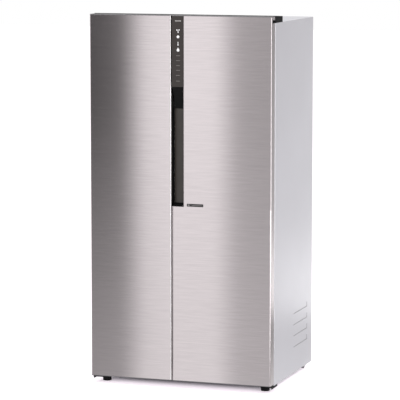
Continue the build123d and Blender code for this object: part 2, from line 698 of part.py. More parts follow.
with BuildPart() as evaporator_cover:
    block(*FREEZER_X, COVER_PLATE_Y, COVER_PLATE_Y + COVER_PLATE_T, STEP_Z, LINER_Z1)
    fan_x = EVAPORATOR_FAN[0]
    grille(fan_x, FAN_GRILLE_HALF[0], EVAPORATOR_FAN[2] - FAN_GRILLE_HALF[1], FAN_GRILLE_ROWS)
    grille(fan_x, RETURN_GRILLE_HALF_X, STEP_Z + RETURN_GRILLE_RISE, RETURN_GRILLE_ROWS)
keep(evaporator_cover, "evaporator_cover")


def fan_wheel():
    """A fan with tilted blades and a shaft, turning about Z at the origin, with its shaft below it."""
    with BuildPart() as wheel:
        Cylinder(*FAN_HUB)
        for blade in range(FAN_BLADES):
            turn = 360 / FAN_BLADES * blade
            with Locations(Location((0, 0, 0), (0, 0, turn)) * Location((BLADE_X, 0, 0), (BLADE_TILT, 0, 0))):
                Box(*BLADE)
        with Locations((0, 0, SHAFT_MIDDLE)):
            Cylinder(FAN_SHAFT_R, SHAFT_LENGTH)
    return wheel.part


def fan_motor():
    """The motor behind a fan: a can with a shaft bore, on a mounting disc."""
    with BuildPart() as motor:
        with Locations((0, 0, MOTOR_MIDDLE)):
            Cylinder(*MOTOR_CAN)
        with Locations((0, 0, MOTOR_DISC_MIDDLE)):
            Cylinder(*MOTOR_DISC)
        with Locations((0, 0, MOTOR_BORE_MIDDLE)):
            Cylinder(FAN_SHAFT_R + RUN_GAP, MOTOR_BORE, mode=Mode.SUBTRACT)
    return motor.part


AXIS_X = (0, 90, 0)
AXIS_Y = (90, 0, 0)
with BuildPart() as condenser_fan:
    with Locations(Location(CONDENSER_FAN, AXIS_X)):
        add(fan_wheel())
keep(condenser_fan, "condenser_fan")

with BuildPart() as evaporator_fan:
    with Locations(Location(EVAPORATOR_FAN, AXIS_Y)):
        add(fan_wheel())
keep(evaporator_fan, "evaporator_fan")

with BuildPart() as fan_motors:
    with Locations(Location(CONDENSER_FAN, AXIS_X)):
        add(fan_motor())
    with Locations(Location(EVAPORATOR_FAN, AXIS_Y)):
        add(fan_motor())
keep(fan_motors, "fan_motors")

with BuildPart() as fan_shroud:
    fan_x, fan_y, fan_z = CONDENSER_FAN
    shroud_x = fan_x - SHROUD_T / 2
    stand_x = fan_x + MOTOR_STAND_X
    stand_y = (fan_y - MOTOR_STAND_HALF_Y, fan_y + MOTOR_STAND_HALF_Y)
    block(
        shroud_x, shroud_x + SHROUD_T, MACHINE_Y + SHROUD_Y_GAP[0], CASE_Y1 - SHROUD_Y_GAP[1],
        TRAY_Z1, MACHINE_Z - SHROUD_TOP_GAP,
    )
    rod(shroud_x - 1, shroud_x + SHROUD_T + 1, fan_y, fan_z, FAN_R + SHROUD_RIM, Mode.SUBTRACT)
    block(stand_x - MOTOR_STAND_T, stand_x, *stand_y, TRAY_Z1, fan_z + MOTOR_STAND_RISE)
    block(stand_x, shroud_x, *stand_y, TRAY_Z1, TRAY_Z1 + MOTOR_STAND_T)
keep(fan_shroud, "fan_shroud")

comp_x, comp_y = COMPRESSOR
with BuildPart() as compressor:
    post(comp_x, comp_y, *COMPRESSOR_Z, COMPRESSOR_R)
    fillet(compressor.edges().filter_by(GeomType.CIRCLE).sort_by(Axis.Z)[-1], radius=COMPRESSOR_TOP_R)
    fillet(compressor.edges().filter_by(GeomType.CIRCLE).sort_by(Axis.Z)[0], radius=COMPRESSOR_FOOT_R)
    block(
        comp_x - BASE_PLATE_HALF[0], comp_x + BASE_PLATE_HALF[0],
        comp_y - BASE_PLATE_HALF[1], comp_y + BASE_PLATE_HALF[1],
        COMPRESSOR_Z[0] - BASE_PLATE_T, COMPRESSOR_Z[0] + 1,
    )
    block(
        comp_x + TERMINAL_X[0], comp_x + TERMINAL_X[1],
        comp_y - TERMINAL_HALF_Y, comp_y + TERMINAL_HALF_Y, *TERMINAL_Z,
    )
keep(compressor, "compressor")

with BuildPart() as compressor_mounts:
    for side_x in (-1, 1):
        for side_y in (-1, 1):
            post(
                comp_x + side_x * MOUNT_SPREAD[0], comp_y + side_y * MOUNT_SPREAD[1],
                TRAY_Z1, COMPRESSOR_Z[0] - BASE_PLATE_T, MOUNT_R,
            )
keep(compressor_mounts, "compressor_mounts")

with BuildPart() as condenser_coil:
    route = serpentine(*CONDENSER_X, CONDENSER_FAN[1], CONDENSER_Z0, COIL_PITCH, CONDENSER_RUNS)
    add(tube_run(route, TUBE_R, TUBE_BEND))
    wire_z1 = CONDENSER_Z0 + COIL_PITCH * (CONDENSER_RUNS - 1) + WIRE_OVERHANG
    for wire in range(WIRE_COUNT):
        wire_x = CONDENSER_X[0] + WIRE_START + wire * WIRE_PITCH
        block(wire_x, wire_x + WIRE_T, *WIRE_Y, CONDENSER_Z0 - WIRE_OVERHANG, wire_z1)
keep(condenser_coil, "condenser_coil")

with BuildPart() as drain_pan:
    tub(comp_x - PAN_HALF_X, comp_x + PAN_HALF_X, *PAN_Y, *PAN_Z, PLASTIC)
keep(drain_pan, "drain_pan")

GLAND_X, GLAND_Z = GLAND
with BuildPart() as machine_room_cover:
    block(-INNER_X + 2, INNER_X - 2, CASE_Y1, REAR_Y, CASE_Z0 + 4, MACHINE_Z - 2)
    for vent_x in VENT_COLUMNS:
        for row in range(VENT_ROWS):
            vent_z = VENT_Z0 + row * VENT_PITCH
            block(
                vent_x - VENT_HALF_X, vent_x + VENT_HALF_X, CASE_Y1 - 1, REAR_Y + 1,
                vent_z, vent_z + VENT_SLOT, Mode.SUBTRACT,
            )
    with Locations(Location((GLAND_X, CASE_Y1, GLAND_Z), AXIS_Y)):
        Cylinder(GLAND_R, GLAND_LENGTH, mode=Mode.SUBTRACT)
keep(machine_room_cover, "machine_room_cover")

with BuildPart() as cord_gland:
    with Locations(Location((GLAND_X, REAR_Y - GLAND_LENGTH / 2, GLAND_Z), AXIS_Y)):
        Cylinder(GLAND_R, GLAND_LENGTH)
        Cylinder(CORD_R, GLAND_LENGTH, mode=Mode.SUBTRACT)
keep(cord_gland, "cord_gland")

# ---- Feet and rollers
for side, word in ((-1, "left"), (1, "right")):
    with BuildPart() as foot:
        post(side * FOOT_X, FOOT_Y, 0, FOOT_HEIGHT, FOOT_R)
        fillet(foot.edges().filter_by(GeomType.CIRCLE), radius=FOOT_EDGE_R)
        post(side * FOOT_X, FOOT_Y, FOOT_HEIGHT, STEM_TOP, STEM_R)
    keep(foot, f"front_foot_{word}")

    x0 = side * ROLLER_X - ROLLER_WIDTH / 2
    x1 = side * ROLLER_X + ROLLER_WIDTH / 2
    with BuildPart() as roller:
        rod(x0, x1, ROLLER_Y, ROLLER_R, ROLLER_R)
        fillet(roller.edges().filter_by(GeomType.CIRCLE), radius=ROLLER_EDGE_R)
        rod(x0 - 1, x1 + 1, ROLLER_Y, ROLLER_R, AXLE_R + RUN_GAP, Mode.SUBTRACT)
    keep(roller, f"rear_roller_{word}")



# ---- Doors
def slot_cut(side, z0, z1, x_in):
    """The slot in a door's top that the hinge arm sweeps through, open to the back and the outer side."""
    block(side * x_in, side * (SIDE_X + 1), SLOT_Y0, DOOR_BACK_Y + 1, z0, z1, Mode.SUBTRACT)


def hinge_blocks(side, mode, grow=0.0):
    """The two solid blocks inside a door that carry its pins."""
    x0 = side * (SIDE_X - 2 * SHEET - BLOCK_WIDTH - grow)
    x1 = side * (SIDE_X - 2 * SHEET)
    block(x0, x1, BLOCK_Y[0] - grow, BLOCK_Y[1] + grow, SLOT_Z0 - BLOCK_DROP - grow, SKIN_Z1, mode)
    block(x0, x1, BLOCK_Y[0] - grow, BLOCK_Y[1] + grow, SKIN_Z0, SKIN_Z0 + BLOCK_DROP + grow, mode)


DOORS = (
    ("freezer", -1, FREEZER_DOOR_X, FREEZER_X),
    ("fridge", 1, FRIDGE_DOOR_X, FRIDGE_X),
)

with BuildPart() as freezer_door_skin:
    x0, x1 = FREEZER_DOOR_X
    outline = [(x1, DOOR_BACK_Y), (x1, FRONT_Y), (x0, FRONT_Y), (x0, DOOR_BACK_Y)]
    outline.reverse()
    add(bent_sheet(outline, DOOR_EDGE_R, SKIN_Z1 - SKIN_Z0, SKIN_Z0))
    block(x1 - 2 * SHEET, x1 + 1, GRIP_Y[0], DOOR_BACK_Y + 1, *GRIP_Z, Mode.SUBTRACT)
    slot_cut(-1, SLOT_Z0, SLOT_Z1, SIDE_X - 2 * SHEET)
keep(freezer_door_skin, "freezer_door_skin")

with BuildPart() as fridge_door_skin:
    x0, x1 = FRIDGE_DOOR_X
    lower = [(x0, DOOR_BACK_Y), (x0, FRONT_Y), (x1, FRONT_Y), (x1, DOOR_BACK_Y)]
    add(bent_sheet(lower, DOOR_EDGE_R, STRIP_Z0 - SKIN_Z0, SKIN_Z0))
    upper = [(STRIP_X1, FRONT_Y + FOLD_DEPTH), (STRIP_X1, FRONT_Y), (x1, FRONT_Y), (x1, DOOR_BACK_Y)]
    add(bent_sheet(upper, STRIP_EDGE_R, SKIN_Z1 - STRIP_Z0, STRIP_Z0))
    block(
        x0 + DOOR_EDGE_R, STRIP_X1 + DOOR_EDGE_R, FRONT_Y + SHEET, FRONT_Y + FOLD_DEPTH,
        STRIP_Z0 - SHEET, STRIP_Z0,
    )
    slot_cut(1, SLOT_Z0, SLOT_Z1, SIDE_X - 2 * SHEET)
keep(fridge_door_skin, "fridge_door_skin")

for word, side, (x0, x1), x_range in DOORS:
    x_pin = hinge_x(side)
    with BuildPart() as door_caps:
        add(door_slab(x0, x1, DOOR_BACK_Y, (DOOR_EDGE_R, 0), DOOR_Z0, SKIN_Z0))
        add(door_slab(x0, x1, DOOR_BACK_Y, (DOOR_EDGE_R, 0), SKIN_Z1, DOOR_Z1))
        hinge_blocks(side, Mode.ADD)
        slot_cut(side, SLOT_Z0, SLOT_Z1, HINGE_SLOT_X)
        bore_drop = BLOCK_DROP - BLOCK_BORE_END
        post(x_pin, HINGE_Y, SLOT_Z0 - bore_drop, SLOT_Z0, PIN_R + RUN_GAP, Mode.SUBTRACT)
        post(x_pin, HINGE_Y, DOOR_Z0, SKIN_Z0 + bore_drop, PIN_R + RUN_GAP, Mode.SUBTRACT)
    keep(door_caps, f"{word}_door_caps")

    dike_x0 = x_range[0] + DIKE_INSET
    dike_x1 = x_range[1] - DIKE_INSET
    dike_back = DOOR_BACK_Y + DIKE_DEPTH
    with BuildPart() as door_liner:
        block(x0 + SHEET, x1 - SHEET, DOOR_BACK_Y - PLASTIC, DOOR_BACK_Y, SKIN_Z0, SKIN_Z1)
        slot_cut(side, SLOT_Z0, SLOT_Z1, HINGE_SLOT_X)
        border(dike_x0, dike_x1, DOOR_BACK_Y, dike_back, DIKE_Z0, DIKE_Z1, DIKE_WIDTH)
        border(
            dike_x0 + PLASTIC, dike_x1 - PLASTIC, DOOR_BACK_Y - PLASTIC, dike_back - PLASTIC,
            DIKE_Z0 + PLASTIC, DIKE_Z1 - PLASTIC, DIKE_WIDTH - 2 * PLASTIC, Mode.SUBTRACT,
        )
    keep(door_liner, f"{word}_door_liner")

    with BuildPart() as door_foam:
        inside = (DOOR_EDGE_R - SHEET, SHEET)
        add(door_slab(x0 + SHEET, x1 - SHEET, DOOR_BACK_Y - PLASTIC, inside, SKIN_Z0, SKIN_Z1))
        hinge_blocks(side, Mode.SUBTRACT, BLOCK_CLEARANCE)
        slot_cut(side, SLOT_Z0, SLOT_Z1, HINGE_SLOT_X)
        if word == "fridge":
            block(
                x0, POCKET_X1 + PLASTIC + 1, FRONT_Y, DOOR_BACK_Y,
                STRIP_Z0 - PLASTIC, SKIN_Z1, Mode.SUBTRACT,
            )
        else:
            block(x1 - GRIP_WIDTH, x1, GRIP_Y[0], GRIP_Y[1], *GRIP_Z, Mode.SUBTRACT)
        border(
            dike_x0 + PLASTIC, dike_x1 - PLASTIC, DOOR_BACK_Y - PLASTIC, dike_back - PLASTIC,
            DIKE_Z0 + PLASTIC, DIKE_Z1 - PLASTIC, DIKE_WIDTH - 2 * PLASTIC,
        )
    keep(door_foam, f"{word}_door_foam")

    inner_edge = x_range[1] if side < 0 else x_range[0]
    gasket_x = sorted((x_pin - side * GASKET_PIN_GAP, inner_edge - side * (GASKET_LAP + GASKET_WIDTH)))
    with BuildPart() as gasket:
        border(
            gasket_x[0], gasket_x[1], DOOR_BACK_Y, DOOR_BACK_Y + GASKET_DEPTH,
            GASKET_Z[0], GASKET_Z[1], GASKET_WIDTH,
        )
    keep(gasket, f"{word}_door_gasket")

    bin_x0 = dike_x0 + DIKE_WIDTH
    bin_x1 = dike_x1 - DIKE_WIDTH
    with BuildPart() as door_bins:
        for z in BIN_Z:
            tub(bin_x0, bin_x1, DOOR_BACK_Y, DOOR_BACK_Y + BIN_DEPTH, z, z + BIN_HEIGHT, BIN_WALL)
        if word == "fridge":
            for ear_x in (bin_x0, bin_x1 - EAR_WALL):
                block(
                    ear_x, ear_x + EAR_WALL, DOOR_BACK_Y, DAIRY_HINGE_Y + EAR_REACH,
                    BIN_Z[-1] + BIN_HEIGHT, DAIRY_HINGE_Z + EAR_REACH,
                )
            rod(bin_x0, bin_x1, DAIRY_HINGE_Y, DAIRY_HINGE_Z, DAIRY_PIN_R + RUN_GAP, Mode.SUBTRACT)
    keep(door_bins, f"{word}_door_bins")

    if word == "fridge":
        with BuildPart() as dairy_cover:
            lid_x = (bin_x0 + EAR_WALL + 1, bin_x1 - EAR_WALL - 1)
            lip_y = DOOR_BACK_Y + BIN_DEPTH + LID_AHEAD
            block(*lid_x, DAIRY_HINGE_Y, lip_y + LID_T, DAIRY_HINGE_Z - LID_T, DAIRY_HINGE_Z)
            block(*lid_x, lip_y, lip_y + LID_T, BIN_Z[-1] + BIN_HEIGHT - LID_LIP, DAIRY_HINGE_Z)
            rod(bin_x0, bin_x1, DAIRY_HINGE_Y, DAIRY_HINGE_Z, DAIRY_PIN_R)
        keep(dairy_cover, "dairy_cover")

# ---- Grip in the freezer door's inner edge
with BuildPart() as freezer_door_grip:
    x1 = FREEZER_DOOR_X[1]
    block(x1 - GRIP_WIDTH, x1, *GRIP_Y, *GRIP_Z)
    block(
        x1 - GRIP_WIDTH + GRIP_WALL, x1 + 1, GRIP_Y[0] + GRIP_WALL, GRIP_Y[1] - GRIP_WALL,
        GRIP_Z[0] + GRIP_WALL, GRIP_Z[1] - GRIP_WALL, Mode.SUBTRACT,
    )
keep(freezer_door_grip, "freezer_door_grip")


# ---- Control strip and pocket handle of the fridge door
def scoop(x0, x1):
    """The hollow of the pocket: a curved roof, a flat back and a sloping floor, open at the front."""
    with BuildSketch(Plane.YZ.offset(x0)) as section:
        with BuildLine():
            TangentArc(
                (RECESS_Y, RECESS_Z1), (STRIP_FRONT, DISPLAY_Z0), tangent=(0, 1), tangent_from_first=True,
            )
            Polyline(
                (STRIP_FRONT, DISPLAY_Z0),
                (FRONT_Y - 1, DISPLAY_Z0),
                (FRONT_Y - 1, STRIP_Z0),
                (FRONT_Y + STRIP_LIP, STRIP_Z0 + STRIP_LIP / 2),
                (RECESS_Y, RECESS_Z0),
                (RECESS_Y, RECESS_Z1),
            )
        make_face()
    return extrude(section.sketch, amount=x1 - x0)


with BuildPart() as pocket_housing:
    block(STRIP_X0, STRIP_X1, FRONT_Y, HOUSING_BACK, STRIP_Z0, DISPLAY_Z0)
    block(STRIP_X0, STRIP_X1, STRIP_FRONT, HOUSING_BACK, DISPLAY_Z0, SKIN_Z1)
    block(STRIP_X1, STRIP_X1 + HOUSING_WALL, FRONT_Y + FOLD_DEPTH, HOUSING_BACK, STRIP_Z0, DISPLAY_Z0)
    block(STRIP_X1, POCKET_X1 + HOUSING_WALL, FRONT_Y + FOLD_DEPTH, HOUSING_BACK, *UNDERCUT_Z)
    block(
        STRIP_X0 + HOUSING_WALL, STRIP_X1 - HOUSING_WALL, STRIP_FRONT, HOUSING_BACK - HOUSING_WALL,
        DISPLAY_Z0 + HOUSING_BRIDGE, SKIN_Z1 - HOUSING_WALL, Mode.SUBTRACT,
    )
    add(scoop(STRIP_X0 - 1, STRIP_X1), mode=Mode.SUBTRACT)
    block(
        STRIP_X1 - 1, POCKET_X1, FRONT_Y + FOLD_DEPTH + HOUSING_WALL, RECESS_Y,
        UNDERCUT_Z[0] + HOUSING_WALL, UNDERCUT_Z[1] - HOUSING_WALL, Mode.SUBTRACT,
    )
keep(pocket_housing, "pocket_housing")

with BuildPart() as pocket_panel:
    block(
        STRIP_X0 + PANEL_GAP, POCKET_X1 - PANEL_GAP, RECESS_Y - PANEL_T, RECESS_Y,
        RECESS_Z0 + PANEL_GAP, RECESS_Z1,
    )
keep(pocket_panel, "pocket_panel")

with BuildPart() as display_panel:
    block(STRIP_X0, STRIP_X1, FRONT_Y, STRIP_FRONT, DISPLAY_Z0, SKIN_Z1)
    left_edge = display_panel.edges().filter_by(Axis.Z).group_by(Axis.Y)[0].sort_by(Axis.X)[0]
    fillet(left_edge, radius=DISPLAY_EDGE_R)
keep(display_panel, "display_panel")

with BuildPart() as control_board:
    block(STRIP_X0 + BOARD_INSET, STRIP_X1 - BOARD_INSET, *BOARD_Y, *BOARD_Z)
keep(control_board, "control_board")

with BuildPart() as badge:
    block(*BADGE_X, FRONT_Y - BADGE_PROUD, FRONT_Y, BADGE_Z - BADGE_HEIGHT / 2, BADGE_Z + BADGE_HEIGHT / 2)
    fillet(badge.edges().filter_by(Axis.Y), radius=BADGE_CORNER_R)
keep(badge, "badge")
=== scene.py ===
"""Looks of the side-by-side refrigerator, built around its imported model.

Lengths are in metres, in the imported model's frame: floor at z 0, doors facing -Y, and +X to the right
of someone who looks at the doors.
"""
from math import cos, radians, sin

import bmesh
import bpy
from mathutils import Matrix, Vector


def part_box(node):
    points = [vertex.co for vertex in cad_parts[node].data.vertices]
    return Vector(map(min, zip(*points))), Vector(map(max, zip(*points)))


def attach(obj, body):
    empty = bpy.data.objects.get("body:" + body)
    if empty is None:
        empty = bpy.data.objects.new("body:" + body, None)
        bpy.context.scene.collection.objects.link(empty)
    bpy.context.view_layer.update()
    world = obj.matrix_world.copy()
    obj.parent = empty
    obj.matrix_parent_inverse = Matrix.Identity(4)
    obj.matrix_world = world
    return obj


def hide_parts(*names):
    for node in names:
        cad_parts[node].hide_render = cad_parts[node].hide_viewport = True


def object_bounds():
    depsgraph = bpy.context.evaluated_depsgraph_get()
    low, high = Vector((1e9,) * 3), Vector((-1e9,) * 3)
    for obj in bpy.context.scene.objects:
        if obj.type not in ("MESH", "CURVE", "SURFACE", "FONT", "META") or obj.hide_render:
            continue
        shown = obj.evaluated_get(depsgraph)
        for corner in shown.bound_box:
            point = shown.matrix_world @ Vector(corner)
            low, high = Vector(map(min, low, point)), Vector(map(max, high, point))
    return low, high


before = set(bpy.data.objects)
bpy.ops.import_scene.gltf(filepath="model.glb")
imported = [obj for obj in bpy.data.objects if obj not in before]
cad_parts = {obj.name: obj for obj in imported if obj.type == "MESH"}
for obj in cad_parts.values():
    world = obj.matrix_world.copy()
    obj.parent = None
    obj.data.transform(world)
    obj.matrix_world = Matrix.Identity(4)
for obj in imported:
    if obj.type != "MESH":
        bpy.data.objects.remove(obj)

CAD_BOX = [list(corner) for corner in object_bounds()]

# ---- Camera and lights
CAMERA_PLACE = (3.625, -10.949, 2.332)
CAMERA_YAW = 18.4
CAMERA_DOWN = 7.23
CAMERA_LENS = 213.6
CAMERA_SENSOR = 36.0
CAMERA_REACH = 100.0
WORLD_LIGHT = 1.0
# Soft square lights: name, place, turn in degrees, size and power in watts
LIGHTS = (
    ("overhead", (0.0, -1.5, 5.0), (15.0, 0.0, 0.0), 4.0, 60.0),
    ("low_side", (2.4, 0.2, 0.35), (0.0, 90.0, 0.0), 1.2, 10.0),
)

# ---- The floor, and its glow, which paints a shadow in under the object, lighter just inside its rim and darkest furthest in: distances in under the object's front or back, and how bright the glow is there.
# In from the object's sides the glow, and with it the painted shadow, fades SIDE_HASTE times as fast.
FLOOR_HALF = 30.0
FLOOR_GREY = 0.80
FLOOR_DRIFT = 0.01
# The glow's pinkish tint also tints the painted shadow.
FLOOR_TINT = (1.0, 0.90, 0.98, 1.0)
FLOOR_GLOW_AND_PAINTED_SHADOW = (
    (-0.05, 0.46),
    (0.045, 0.74),
    (0.075, 0.48),
    (0.115, 0.18),
    (0.16, 0.0),
)
SIDE_HASTE = 2.5

# ---- The card that the steel doors reflect: places along the doors, and how bright it is there.
# It stands CARD_SHIFT_X beside those places, and its lying part leads from there up to the doors.
# The bright strip past the doors lights their rounded edges.
CARD_Y = -0.90
CARD_SHIFT_X = -0.185
CARD_HALF = 1.9
CARD_Z = (0.002, 2.6)
CARD_TONES = (
    (-0.45, 0.11),
    (-0.31, 0.18),
    (-0.265, 0.44),
    (-0.185, 1.01),
    (-0.05, 1.10),
    (0.19, 1.10),
    (0.30, 0.53),
    (0.45, 0.48),
    (0.60, 0.53),
    (1.15, 0.62),
    (1.19, 4.20),
    (1.70, 4.20),
    (1.74, 0.60),
)
# Towards the floor the tones draw together, by this share at the floor and by none at this height
CARD_LOW_TONE = 0.79
CARD_LOW_SHARE = 0.43
CARD_LOW_Z = 1.3

# ---- The card beside the case, for the gloss of its side: heights, and how bright it is there
SIDE_CARD_X = (0.46, 3.0)
SIDE_CARD_Y = (-1.5, 1.5)
SIDE_CARD_TONES = (
    (0.00, 0.38),
    (0.02, 0.38),
    (0.09, 1.90),
    (0.28, 1.60),
    (0.60, 0.78),
    (1.10, 0.70),
    (1.70, 0.58),
)
# Away from the case it darkens by this much a metre, from this X on and down to this share
SIDE_CARD_FALL = 2.6
SIDE_CARD_EVEN_X = 0.87
SIDE_CARD_LEAST = 0.35

# ---- Marks on the display: heights above the floor, and parts of a symbol in shares of half its size
PRINT_T = 0.0002
DISC_SIDES = 28
ICON_X = -0.007
ICON_SIZE = 0.019
FAN_Z = 1.716
BLADES = 3
BLADE_START = 30.0
BLADE_OUTLINE = ((0.12, 0.0), (0.55, -26.0), (1.0, -12.0), (1.0, 22.0), (0.5, 26.0))
DIAMOND_Z = 1.687
DIAMOND_SHARE = 0.85
DIAMOND_SIDES = 4
GAUGE_Z = 1.655
STEM_WIDTH = 0.00288
STEM_SHARE = 1.5
STEM_RISE = 0.15
BULB_SHARE = 0.36
BULB_FALL = 0.6
DROP_Z = 1.626
DROP_FALL = 0.2
DROP_POINT = 0.0125
DROP_R = 0.0068
DROP_TOP = 90.0
DROP_SHOULDER = 40.0
DROP_STEPS = 20
BLOCK_Z = 1.762
BLOCKS = 5
BLOCK_PITCH = 0.006
BLOCK_SIZE = (0.0042, 0.005)
DASH_Z = (1.598, 1.575, 1.551, 1.529, 1.505, 1.478)
DASH_SIZE = (ICON_SIZE, 0.003)

# ---- Marks on the badge: a disc some way in from its left end, and a line to the right of its middle
BADGE_DISC_IN = 0.009
BADGE_DISC_R = 0.0042
BADGE_LINE_SHIFT = 0.009
BADGE_LINE_SIZE = (0.052, 0.0016)

# ---- Door gaskets: distances in from the rim, and heights above the door's liner.
# A flat foot carries a narrow bellows, and this the wide magnetic bead.
GASKET_PROFILE = (
    (0.000, 0.0000),
    (0.022, 0.0000),
    (0.022, 0.0012),
    (0.017, 0.0016),
    (0.0155, 0.0030),
    (0.0175, 0.0042),
    (0.0195, 0.0056),
    (0.0205, 0.0074),
    (0.0195, 0.0092),
    (0.0170, 0.0097),
    (0.0070, 0.0097),
    (0.0045, 0.0092),
    (0.0035, 0.0074),
    (0.0045, 0.0056),
    (0.0065, 0.0042),
    (0.0080, 0.0030),
    (0.0065, 0.0016),
    (0.000, 0.0012),
)

# ---- Back of the case: pressed beads in the rear panel, and hexagon screws with washers
BEAD_HALF = 0.006
BEAD_T = 0.0022
BEAD_STEPS = 9
BEAD_MARGIN_X = 0.050
BEAD_MARGIN_Z = 0.100
COVER_SCREWS = 5
COVER_SCREW_END = 0.020
COVER_SCREW_LOW = 0.010
COVER_SCREW_HIGH = 0.012
FLANGE_SCREWS = 4
FLANGE_SCREW_IN = 0.007
WASHER_R = 0.0048
WASHER_T = 0.0004
WASHER_SIDES = 24
HEX_R = 0.0032
HEX_T = 0.0012
HEX_SIDES = 6

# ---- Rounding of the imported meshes' edges, by material slot
EDGE_ROUND = {
    "door_steel": 0.0003,
    "case_paint": 0.0004,
    "black_plastic": 0.0008,
    "cap_plastic": 0.0006,
    "liner_plastic": 0.0008,
    "trim_plastic": 0.0020,
    "clear_plastic": 0.0010,
    "shelf_glass": 0.0010,
    "display_gloss": 0.0006,
    "lamp_plastic": 0.0020,
}
ROUND_SEGMENTS = 2
SHARP_DEGREES = 40.0
FLAT_DEGREES = 0.5
WELD_REACH = 0.00001
SAME_POINT = 0.000001

# ---- Paint and steel details
CASE_COLOUR = (0.530, 0.525, 0.555)
# Painted shade in the case's pressed grooves: how far the surface is searched for its own hollows, the
# shade's colour as a share of the paint, and the openness over which it fades out.
GROOVE_REACH = 0.012
GROOVE_SHADE = 0.1
GROOVE_OPENNESS = (0.45, 0.92)
# Painted highlight along a door's rounded rim: its colour, the band's half width, and a margin.
RIM_HIGHLIGHT_TONE = (0.98, 0.95, 0.96)
RIM_HALF = 0.0025
RIM_MARGIN = 0.001
# Where most of a pattern's values lie
PATTERN_LOW = 0.3
PATTERN_HIGH = 0.7


# ---- Colours
def grey(tone):
    """A colour without a hue."""
    return (tone, tone, tone)


def shade(colour, factor):
    """A colour made darker or lighter by a factor."""
    return tuple(min(1.0, channel * factor) for channel in colour)


# ---- Shader nodes: each function adds one step and gives its output
def feed(mat, socket, value):
    """Sets a node's input to a value, or links another node's output to it."""
    if isinstance(value, bpy.types.NodeSocket):
        mat.node_tree.links.new(value, socket)
    else:
        socket.default_value = value


def calculate(mat, operation, *operands):
    """The result of a Math node."""
    node = mat.node_tree.nodes.new("ShaderNodeMath")
    node.operation = operation
    for socket, operand in zip(node.inputs, operands):
        feed(mat, socket, operand)
    return node.outputs["Value"]


def rescale(mat, value, start, end, to_start, to_end, clamp=True):
    """A number carried over from one range to another."""
    node = mat.node_tree.nodes.new("ShaderNodeMapRange")
    node.clamp = clamp
    feed(mat, node.inputs["Value"], value)
    feed(mat, node.inputs["From Min"], start)
    feed(mat, node.inputs["From Max"], end)
    feed(mat, node.inputs["To Min"], to_start)
    feed(mat, node.inputs["To Max"], to_end)
    return node.outputs["Result"]


def mixed(mat, factor, first, second):
    """A colour between two others."""
    node = mat.node_tree.nodes.new("ShaderNodeMix")
    node.data_type = "RGBA"
    feed(mat, node.inputs["Factor"], factor)
    feed(mat, node.inputs["A"], first)
    feed(mat, node.inputs["B"], second)
    return node.outputs["Result"]


def colour_ramp(mat, value, stops):
    """A colour picked from (position, colour) stops in rising order."""
    node = mat.node_tree.nodes.new("ShaderNodeValToRGB")
    elements = node.color_ramp.elements
    elements.remove(elements[0])
    for index, (position, colour) in enumerate(stops):
        stop = elements[0] if index == 0 else elements.new(position)
        stop.position = position
        stop.color = (*colour, 1.0)
    feed(mat, node.inputs["Fac"], value)
    return node.outputs["Color"]


def tone_ramp(mat, value, start, end, tones):
    """A grey picked from (place, tone) stops in rising order, between the places start and end."""
    stops = [((place - start) / (end - start), grey(tone)) for place, tone in tones]
    return colour_ramp(mat, rescale(mat, value, start, end, 0.0, 1.0), stops)


def coordinates(mat):
    """The X, Y and Z of a point in its own piece."""
    place = mat.node_tree.nodes.new("ShaderNodeTexCoord")
    parts = mat.node_tree.nodes.new("ShaderNodeSeparateXYZ")
    feed(mat, parts.inputs["Vector"], place.outputs["Object"])
    return parts.outputs["X"], parts.outputs["Y"], parts.outputs["Z"]


def stretched_place(mat, stretch):
    """The piece's own coordinates, scaled along each axis."""
    place = mat.node_tree.nodes.new("ShaderNodeTexCoord")
    mapping = mat.node_tree.nodes.new("ShaderNodeMapping")
    feed(mat, mapping.inputs["Scale"], stretch)
    feed(mat, mapping.inputs["Vector"], place.outputs["Object"])
    return mapping.outputs["Vector"]


def noise(mat, scale, stretch=(1.0, 1.0, 1.0), detail=2.0):
    """Noise with features about 1/scale metres across, drawn out along axes where stretch is small."""
    node = mat.node_tree.nodes.new("ShaderNodeTexNoise")
    feed(mat, node.inputs["Scale"], scale)
    feed(mat, node.inputs["Detail"], detail)
    feed(mat, node.inputs["Vector"], stretched_place(mat, stretch))
    return node.outputs["Fac"]


def cells(mat, scale, stretch=(1.0, 1.0, 1.0)):
    """Cells about 1/scale metres across, each with its own even tone."""
    node = mat.node_tree.nodes.new("ShaderNodeTexVoronoi")
    feed(mat, node.inputs["Scale"], scale)
    feed(mat, node.inputs["Vector"], stretched_place(mat, stretch))
    return node.outputs["Color"]


# ---- Materials: small steps that each add one thing to a Principled shader
def socket_of(mat, name):
    """An input of a material's Principled shader."""
    return mat.node_tree.nodes["Principled BSDF"].inputs[name]


def shader(name, colour, roughness, metallic=0.0, extra=None):
    """A material with one Principled shader; every value sits on the shader's own socket."""
    mat = bpy.data.materials.new(name)
    mat.use_nodes = True
    socket_of(mat, "Base Color").default_value = (*colour, 1.0)
    socket_of(mat, "Roughness").default_value = roughness
    socket_of(mat, "Metallic").default_value = metallic
    for socket, value in (extra or {}).items():
        socket_of(mat, socket).default_value = value
    return mat


def vary(mat, pattern, socket, low, high):
    """Lets a pattern move one of the shader's numbers between low and high."""
    feed(mat, socket_of(mat, socket), rescale(mat, pattern, PATTERN_LOW, PATTERN_HIGH, low, high))


def tint(mat, pattern, dark, light):
    """Lets a pattern move the base colour between two colours."""
    blend = colour_ramp(mat, pattern, ((PATTERN_LOW, dark), (PATTERN_HIGH, light)))
    feed(mat, socket_of(mat, "Base Color"), blend)


